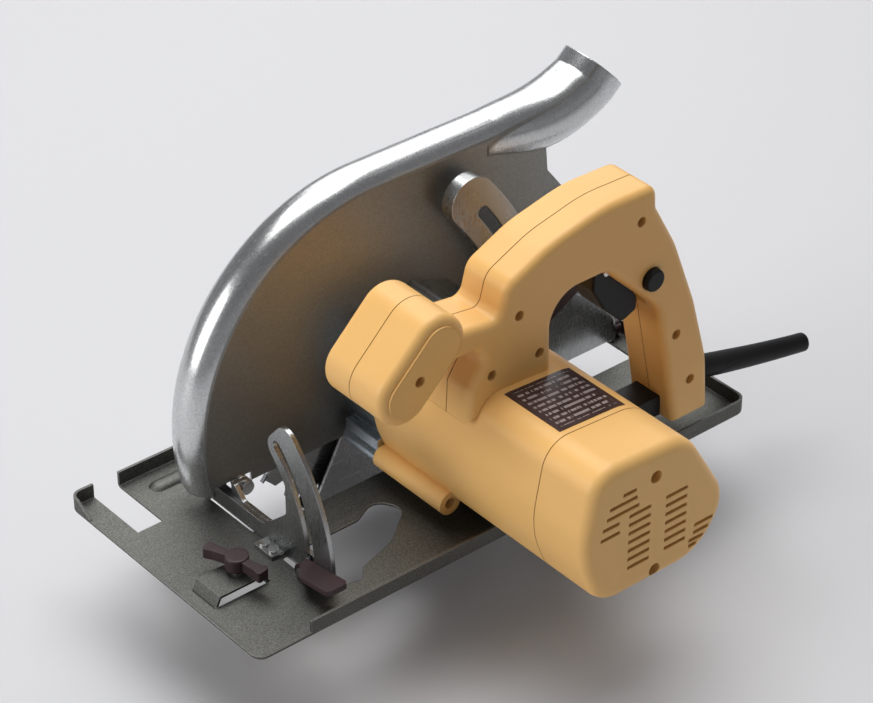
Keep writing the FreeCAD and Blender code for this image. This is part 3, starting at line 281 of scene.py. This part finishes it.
def worked(name, look):
    # bare metal: drawn lines, smudges that dull the gloss, bright rubbed edges
    mat, nodes, links, shader = startMaterial(name)
    patch = addGroup(nodes, mottleGroup, Broad=look["broad"], Fine=look["grain"])
    edge = addGroup(nodes, edgeGroup, Radius=look["round"], Gain=look["edgeGain"])
    if look.get("rings"):
        lines = addGroup(nodes, ringGroup).outputs["Rings"]
        scratches = addGroup(nodes, drawnGroup).outputs["Scratches"]
    else:
        drawn = addGroup(nodes, drawnGroup, Stretch=look["stretch"])
        lines = drawn.outputs["Lines"]
        scratches = drawn.outputs["Scratches"]
    tone = addRamp(nodes, links, patch.outputs["Patches"], *metalBlend["tone"])
    colour = addMix(nodes, links, tone, look["dark"], look["light"])
    speck = addRamp(nodes, links, patch.outputs["Specks"], *metalBlend["speck"], 0.0, look["speck"])
    colour = addMix(nodes, links, speck, colour, look["fleck"])
    colour = addMix(nodes, links, edge.outputs["Mask"], colour, look["worn"])
    rough = addRamp(nodes, links, lines, *metalBlend["line"],
                    look["rough"] - look["spread"], look["rough"] + look["spread"])
    smudge = addRamp(nodes, links, patch.outputs["Patches"], *metalBlend["smudge"], 0.0, look["smudge"])
    rough = addMath(nodes, links, "ADD", rough, smudge)
    dull = addMath(nodes, links, "MULTIPLY", scratches, metalBlend["scratchDull"])
    rough = addMath(nodes, links, "ADD", rough, dull, clamp=True)
    grain = addMath(nodes, links, "MULTIPLY", patch.outputs["Specks"], metalBlend["speckHeight"])
    height = addMath(nodes, links, "ADD", lines, grain)
    if "wall" in look:
        # painted shade: the guard's flat side is painted darker than the rest, and its gloss is dulled
        flat = addPlaneLine(nodes, links, 1, look["wall"], metalBlend["wallReach"])
        paintedWallShade = addMix(nodes, links, patch.outputs["Specks"], *look["wallShadeTones"])
        colour = addMix(nodes, links, flat, colour, paintedWallShade)
        rough = addMath(nodes, links, "ADD", rough, addMath(nodes, links, "MULTIPLY", flat, look["wallDull"]))
    links.new(colour, shader.inputs["Base Color"])
    links.new(rough, shader.inputs["Roughness"])
    links.new(addBump(nodes, links, height, look["depth"], edge.outputs["Normal"]), shader.inputs["Normal"])
    shader.inputs["Metallic"].default_value = 1.0
    return mat


yellow = {"dark": (0.79, 0.455, 0.150), "light": (0.86, 0.51, 0.175), "worn": (0.93, 0.60, 0.25),
          "rough": 0.37, "broad": 7.0, "grain": 1500.0, "round": 0.0011, "edgeGain": 1.4, "scuff": 0.10,
          "depth": 0.00003, "specular": 0.36, "seamTone": (0.36, 0.16, 0.035)}
brown = {"dark": (0.030, 0.014, 0.017), "light": (0.046, 0.022, 0.025), "worn": (0.11, 0.065, 0.065),
         "rough": 0.44, "broad": 30.0, "grain": 1600.0, "round": 0.0007, "edgeGain": 2.0, "scuff": 0.12,
         "depth": 0.00003}
black = {"dark": (0.004, 0.004, 0.0045), "light": (0.009, 0.009, 0.0095), "worn": (0.035, 0.035, 0.035),
         "rough": 0.42, "broad": 25.0, "grain": 1500.0, "round": 0.0008, "edgeGain": 1.5, "scuff": 0.10,
         "depth": 0.00003, "specular": 0.22}
rubber = {**black, "rough": 0.50, "grain": 700.0, "depth": 0.00005, "worn": (0.04, 0.04, 0.04)}
carbonLook = {**black, "rough": 0.6, "light": (0.03, 0.03, 0.03)}

steelLook = {"dark": (0.075, 0.075, 0.069), "light": (0.12, 0.12, 0.110), "worn": (0.50, 0.50, 0.48),
             "fleck": (0.27, 0.27, 0.25), "rough": 0.54, "spread": 0.05, "smudge": 0.06, "speck": 0.55,
             "broad": 9.0, "grain": 1100.0, "round": 0.0008, "edgeGain": 3.0,
             "stretch": (40.0, 500.0, 500.0), "depth": 0.00003}
guardLook = {"dark": (0.58, 0.59, 0.59), "light": (0.74, 0.75, 0.76), "worn": (0.90, 0.90, 0.90),
             "fleck": (0.30, 0.30, 0.28), "rough": 0.25, "spread": 0.03, "smudge": 0.05, "speck": 0.35,
             "broad": 10.0, "grain": 900.0, "round": 0.0012, "edgeGain": 1.5,
             "stretch": (700.0, 700.0, 160.0), "depth": 0.000008}
# the wall tones are painted shade that darkens the guard's flat side
plainGuard = {**guardLook, "wall": -0.0307, "wallShadeTones": ((0.22, 0.22, 0.205), (0.36, 0.36, 0.345)),
              "wallDull": 0.22}
caseLook = {**guardLook, "dark": (0.36, 0.42, 0.47), "light": (0.52, 0.58, 0.63), "rough": 0.28,
            "stretch": (500.0, 30.0, 500.0)}
pressedLook = {**guardLook, "dark": (0.36, 0.37, 0.37), "light": (0.50, 0.51, 0.51), "rough": 0.27,
               "speck": 0.25, "edgeGain": 1.2, "round": 0.0007, "stretch": (400.0, 400.0, 60.0),
               "depth": 0.000004}
pinLook = {**pressedLook, "dark": (0.55, 0.55, 0.55), "light": (0.74, 0.74, 0.74), "rough": 0.2,
           "round": 0.0004}
screwLook = {**pinLook, "dark": (0.10, 0.10, 0.11), "light": (0.20, 0.20, 0.21), "rough": 0.35}
bladeLook = {**guardLook, "dark": (0.50, 0.50, 0.50), "light": (0.66, 0.66, 0.66), "rough": 0.28,
             "spread": 0.06, "rings": True, "round": 0.0004, "depth": 0.000004}
carbideLook = {**screwLook, "dark": (0.22, 0.23, 0.25), "light": (0.32, 0.33, 0.35)}
copperLook = {**pinLook, "dark": (0.45, 0.16, 0.06), "light": (0.72, 0.32, 0.14),
              "fleck": (0.3, 0.1, 0.04), "rough": 0.3, "stretch": (900.0, 200.0, 900.0)}
bronzeLook = {**pinLook, "dark": (0.42, 0.28, 0.12), "light": (0.62, 0.44, 0.20), "fleck": (0.3, 0.2, 0.1)}
stackLook = {**screwLook, "dark": (0.12, 0.115, 0.11), "light": (0.22, 0.21, 0.20),
             "stretch": (5.0, 2600.0, 5.0), "depth": 0.0001}

label = {"rows": 10.0, "barHeight": 0.22, "dashes": 26.0, "rowShift": 7.3, "dashCut": 0.46,
         "marginAlong": 0.43, "marginAcross": 0.44, "broad": 60.0, "grain": 1500.0,
         "film": (0.030, 0.016, 0.018), "filmLight": (0.050, 0.026, 0.028), "ink": (0.30, 0.26, 0.25),
         "tone": (0.3, 0.7), "gloss": (0.2, 0.8, 0.22, 0.36), "depth": 0.00001}


def printedLabel(name, look):
    # dark film with pale printed bars of uneven length, inside a margin, and no lettering
    mat, nodes, links, shader = startMaterial(name)
    low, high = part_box("rating_label")
    coords = nodes.new("ShaderNodeTexCoord").outputs["Object"]
    split = nodes.new("ShaderNodeSeparateXYZ")
    links.new(coords, split.inputs[0])

    def middle(value, half):
        # 1 where value lies within half of 0.5
        off = addMath(nodes, links, "SUBTRACT", value, 0.5)
        return addMath(nodes, links, "LESS_THAN", addMath(nodes, links, "ABSOLUTE", off), half)

    u = addRamp(nodes, links, split.outputs[0], high.x, low.x)
    v = addRamp(nodes, links, split.outputs[1], low.y, high.y)
    row = addMath(nodes, links, "MULTIPLY", v, look["rows"])
    inRow = addMath(nodes, links, "FRACT", row)
    rowIndex = addMath(nodes, links, "FLOOR", row)
    bar = middle(inRow, look["barHeight"])
    cell = nodes.new("ShaderNodeCombineXYZ")
    links.new(addMath(nodes, links, "MULTIPLY", u, look["dashes"]), cell.inputs[0])
    links.new(addMath(nodes, links, "MULTIPLY", rowIndex, look["rowShift"]), cell.inputs[1])
    dash = addNoise(nodes, links, cell.outputs[0], 1.0, 1.0, 0.4)
    dash = addMath(nodes, links, "GREATER_THAN", dash, look["dashCut"])
    marginU = middle(u, look["marginAlong"])
    marginV = middle(v, look["marginAcross"])
    ink = addMath(nodes, links, "MULTIPLY", bar, dash)
    ink = addMath(nodes, links, "MULTIPLY", ink, addMath(nodes, links, "MULTIPLY", marginU, marginV))
    patch = addGroup(nodes, mottleGroup, Broad=look["broad"], Fine=look["grain"])
    tone = addRamp(nodes, links, patch.outputs["Patches"], *look["tone"])
    film = addMix(nodes, links, tone, look["film"], look["filmLight"])
    links.new(addMix(nodes, links, ink, film, look["ink"]), shader.inputs["Base Color"])
    links.new(addRamp(nodes, links, patch.outputs["Patches"], *look["gloss"]), shader.inputs["Roughness"])
    links.new(addBump(nodes, links, patch.outputs["Specks"], look["depth"]), shader.inputs["Normal"])
    return mat


# seams lie where the motor meets its end cap and where the handle's halves meet
seams = {"motor": 0.145, "handle": 0.071}
finishes = {
    "yellow_shell": moulded("yellowShell", {**yellow, "seam": seams["motor"]}),
    "yellow_handle": moulded("yellowHandle", {**yellow, "seam": seams["handle"]}),
    "brown_plastic": moulded("brownKnob", brown),
    "black_plastic": moulded("blackMoulding", black),
    "black_rubber": moulded("cableRubber", rubber),
    "carbon": moulded("pressedCarbon", carbonLook),
    "label_film": printedLabel("ratingFilm", label),
    "grey_sheet_steel": worked("soleSteel", steelLook),
    "polished_aluminium": worked("polishedGuard", plainGuard),
    "cast_silver": worked("caseMetal", caseLook),
    "bright_steel": worked("pressedSteel", pressedLook),
    "pin_steel": worked("turnedSteel", pinLook),
    "screw_steel": worked("darkScrews", screwLook),
    "bearing_steel": worked("groundSteel", pinLook),
    "bronze": worked("bronzeBush", bronzeLook),
    "copper": worked("copperWire", copperLook),
    "laminations": worked("stackedSheet", stackLook),
    "spring_steel": worked("springWire", pinLook),
    "blade_steel": worked("groundBlade", bladeLook),
    "carbide": worked("carbideTips", carbideLook),
}
slotOf = {s["node"]: s["material_slot"] for s in frame["record"]["subparts"]}
for name, node in frame["nodes"].items():
    key = slotOf[name]
    if name.startswith("handle_") and key == "yellow_shell":
        key = "yellow_handle"
    if not node.data.materials:
        node.data.materials.append(None)
    for i in range(len(node.data.materials)):
        node.data.materials[i] = finishes[key]
print("finishes on", len(frame["nodes"]), "pieces")

floorLook = {"drop": 0.010, "half": 6.0, "tone": (0.60, 0.60, 0.615), "rough": 0.75}


def makeFloor():
    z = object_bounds()[0].z - floorLook["drop"]
    half = floorLook["half"]
    mesh = bpy.data.meshes.new("floor")
    corners = [(-half, -half, z), (half, -half, z), (half, half, z), (-half, half, z)]
    mesh.from_pydata(corners, [], [(0, 1, 2, 3)])
    floor = bpy.data.objects.new("floor", mesh)
    bpy.context.scene.collection.objects.link(floor)
    mat, nodes, links, shader = startMaterial("paleFloor")
    shader.inputs["Base Color"].default_value = (*floorLook["tone"], 1)
    shader.inputs["Roughness"].default_value = floorLook["rough"]
    mesh.materials.append(mat)


lamps = {
    "keyLight": {"place": (-0.32, -0.5, 2.1), "aim": (0, 0, 0.05), "size": (1.9, 1.9), "power": 48.0},
    "sideLight": {"place": (1.9, -0.5, 0.8), "aim": (0, 0, 0.0), "size": (1.2, 1.2), "power": 20.0},
    "backLight": {"place": (-1.06, -1.45, 1.13), "aim": (0, 0, 0.1), "size": (1.5, 0.9), "power": 8.0},
}


def softLight(name, lamp):
    data = bpy.data.lights.new(name, "AREA")
    data.shape = "RECTANGLE"
    data.size, data.size_y = lamp["size"]
    data.energy = lamp["power"]
    light = bpy.data.objects.new(name, data)
    light.location = lamp["place"]
    light.rotation_euler = (Vector(lamp["place"]) - Vector(lamp["aim"])).to_track_quat("Z", "Y").to_euler()
    bpy.context.scene.collection.objects.link(light)


# tones of the surroundings from straight down to straight up, with a bright band at the horizon
skyLook = {"down": (0.30, 0.29, 0.28), "up": (0.42, 0.42, 0.43), "strength": 0.38,
           "band": ((0.45, (0.40, 0.39, 0.40)), (0.55, (0.80, 0.81, 0.84)), (0.72, (0.50, 0.50, 0.52)))}


def makeSky():
    world = bpy.data.worlds.new("studio")
    world.use_nodes = True
    bpy.context.scene.world = world
    nodes, links = world.node_tree.nodes, world.node_tree.links
    coords = nodes.new("ShaderNodeTexCoord").outputs["Generated"]
    split = nodes.new("ShaderNodeSeparateXYZ")
    links.new(coords, split.inputs[0])
    blendTone = nodes.new("ShaderNodeValToRGB")
    stops = blendTone.color_ramp.elements
    stops[0].color = (*skyLook["down"], 1)
    stops[1].color = (*skyLook["up"], 1)
    for place, tone in skyLook["band"]:
        stop = stops.new(place)
        stop.color = (*tone, 1)
    links.new(addRamp(nodes, links, split.outputs[2], -1.0, 1.0), blendTone.inputs[0])
    links.new(blendTone.outputs[0], nodes["Background"].inputs["Color"])
    nodes["Background"].inputs["Strength"].default_value = skyLook["strength"]


# back is the direction from the saw towards the camera
eye = {"place": (0.92648, 1.13225, 1.07426), "back": (0.52877, 0.63507, 0.56303), "lens": 126.0,
       "sensor": 36.0}


def makeCamera():
    back = Vector(eye["back"]).normalized()
    right = Vector((0, 0, 1)).cross(back).normalized()
    up = back.cross(right)
    data = bpy.data.cameras.new("camera")
    data.lens = eye["lens"]
    data.sensor_width = eye["sensor"]
    camera = bpy.data.objects.new("camera", data)
    turn = Matrix((right, up, back)).transposed().to_4x4()
    camera.matrix_world = Matrix.Translation(eye["place"]) @ turn
    bpy.context.scene.collection.objects.link(camera)
    bpy.context.scene.camera = camera


makeFloor()
for name, lamp in lamps.items():
    softLight(name, lamp)
makeSky()
makeCamera()
bpy.context.scene.view_settings.view_transform = "Standard"
print("studio and camera set")
